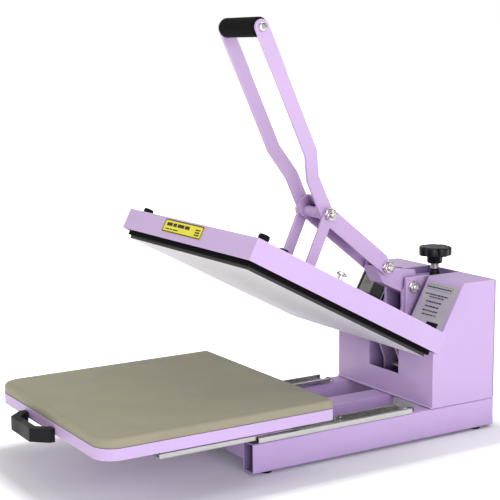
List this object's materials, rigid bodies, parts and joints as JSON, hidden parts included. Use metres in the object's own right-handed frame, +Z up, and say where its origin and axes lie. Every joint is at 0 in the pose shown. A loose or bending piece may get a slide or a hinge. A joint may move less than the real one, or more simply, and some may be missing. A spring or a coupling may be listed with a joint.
{
  "type": "heat press",
  "caption": "Clamshell heat press with a slide-out lower platen, a lever-and-link handle, a rear control housing and a pressure knob.",
  "frame": {"origin": "bottom centre of the whole machine's box at rest, with the lower platen pulled out and the press open", "axes": "+Y runs from the operator's side to the rear housing, +Z is up, +X is the machine's right-hand side seen by the operator"},
  "size_m": [0.4, 0.7918, 0.6846],
  "materials": {
    "lavender_paint": "satin powder coat on folded sheet steel",
    "lavender_steel_bar": "satin powder coat on flat steel bar",
    "zinc_steel": "bright zinc plate",
    "chrome_bolt": "polished plating",
    "cast_aluminium": "fine matt cast and ground face",
    "silicone": "soft matt silicone sponge",
    "black_plastic": "fine moulded grain",
    "black_rubber": "soft matt",
    "black_insulation": "dull fibre board",
    "display_glass": "unlit grey display",
    "yellow_plate": "semi-gloss plate",
    "grey_plate": "satin grey plate",
    "circuit_board": "solder mask",
    "element_steel": "heat-dulled tube"
  },
  "bodies": {
    "base": {"rail_right": "lavender_paint", "rail_left": "lavender_paint", "foot_front_right": "black_rubber", "foot_front_left": "black_rubber", "foot_rear_right": "black_rubber", "foot_rear_left": "black_rubber", "front_crossmember": "lavender_paint", "center_beam": "lavender_paint", "hinge_bracket": "lavender_steel_bar", "hinge_bolt_right": "chrome_bolt", "hinge_bolt_left": "chrome_bolt", "slide_outer_right": "zinc_steel", "slide_outer_left": "zinc_steel", "housing_shell": "lavender_paint", "rear_cover": "lavender_paint", "power_inlet": "black_plastic", "controller_board": "circuit_board", "screw_bridge": "lavender_paint", "screw_bushing": "black_plastic", "control_panel": "black_plastic", "lcd_window": "display_glass", "instruction_plate": "grey_plate", "power_switch_body": "black_plastic"},
    "drawer": {"drawer_tray": "lavender_paint", "silicone_pad": "silicone", "drawer_handle": "black_plastic", "slide_inner_right": "zinc_steel", "slide_inner_left": "zinc_steel"},
    "cage_right": {"ball_cage_right": "zinc_steel"},
    "cage_left": {"ball_cage_left": "zinc_steel"},
    "upper_platen": {"platen_cover": "lavender_paint", "insulation_frame": "black_insulation", "heat_plate": "cast_aluminium", "heating_element": "element_steel", "post_right": "lavender_steel_bar", "post_left": "lavender_steel_bar", "hinge_arm_right": "lavender_steel_bar", "hinge_arm_left": "lavender_steel_bar", "hinge_tie_rod": "zinc_steel", "cap_front_right": "black_rubber", "cap_front_left": "black_rubber", "cap_side_right": "black_rubber", "cover_bolt": "chrome_bolt", "caution_plate": "yellow_plate"},
    "lever": {"lever_bar_right": "lavender_steel_bar", "lever_bar_left": "lavender_steel_bar", "lever_arm": "lavender_steel_bar", "pivot_bolt": "chrome_bolt", "link_bolt": "chrome_bolt", "grip_axle": "black_plastic"},
    "grip": {"handle_grip": "black_rubber"},
    "link": {"link_channel": "lavender_steel_bar"},
    "knob": {"pressure_knob": "black_plastic", "pressure_screw": "zinc_steel"},
    "block": {"pressure_block": "zinc_steel"},
    "rocker": {"power_rocker": "black_plastic"},
    "set_key": {"set_button": "grey_plate"},
    "down_key": {"down_button": "grey_plate"}
  },
  "joints": [
    {"name": "platen_hinge", "type": "hinge", "parent": "base", "child": "upper_platen", "pos_m": [0, 0.29692, 0.236], "axis": [1, 0, 0], "range_deg": [0, 27.63]},
    {"name": "lever_pivot", "type": "hinge", "parent": "upper_platen", "child": "lever", "pos_m": [0, 0.11542, 0.3737], "axis": [1, 0, 0], "range_deg": [0, 2.91]},
    {"name": "link_pivot", "type": "hinge", "parent": "lever", "child": "link", "pos_m": [0, 0.24242, 0.274], "axis": [1, 0, 0], "range_deg": [-21.12, 0]},
    {"name": "grip_spin", "type": "hinge", "parent": "lever", "child": "grip", "pos_m": [0, -0.02148, 0.6693], "axis": [1, 0, 0], "continuous": true},
    {"name": "drawer_slide", "type": "slide", "parent": "base", "child": "drawer", "axis": [0, 1, 0], "range_m": [0, 0.231]},
    {"name": "cage_right_slide", "type": "slide", "parent": "base", "child": "cage_right", "axis": [0, 1, 0], "range_m": [0, 0.1155]},
    {"name": "cage_left_slide", "type": "slide", "parent": "base", "child": "cage_left", "axis": [0, 1, 0], "range_m": [0, 0.1155]},
    {"name": "knob_turn", "type": "hinge", "parent": "base", "child": "knob", "pos_m": [0, 0.36842, 0.2017], "axis": [0, 0, 1], "range_deg": [-360, 360]},
    {"name": "block_slide", "type": "slide", "parent": "base", "child": "block", "axis": [0, 0, 1], "range_m": [-0.00176, 0.00176]},
    {"name": "power_switch", "type": "hinge", "parent": "base", "child": "rocker", "pos_m": [0, 0.27772, 0.17833], "axis": [1, 0, 0], "range_deg": [0, 14]},
    {"name": "set_press", "type": "slide", "parent": "base", "child": "set_key", "axis": [0, 0.8675, -0.4975], "range_m": [0, 0.0012]},
    {"name": "down_press", "type": "slide", "parent": "base", "child": "down_key", "axis": [0, 0.8675, -0.4975], "range_m": [0, 0.0012]}
  ],
  "couplings": [
    {"joint": "lever_pivot", "follows": "platen_hinge", "ratio": 0.10444},
    {"joint": "link_pivot", "follows": "platen_hinge", "ratio": -0.7638},
    {"joint": "cage_right_slide", "follows": "drawer_slide", "ratio": 0.5},
    {"joint": "cage_left_slide", "follows": "drawer_slide", "ratio": 0.5},
    {"joint": "block_slide", "follows": "knob_turn", "m_per_rad": -0.0002785}
  ]
}
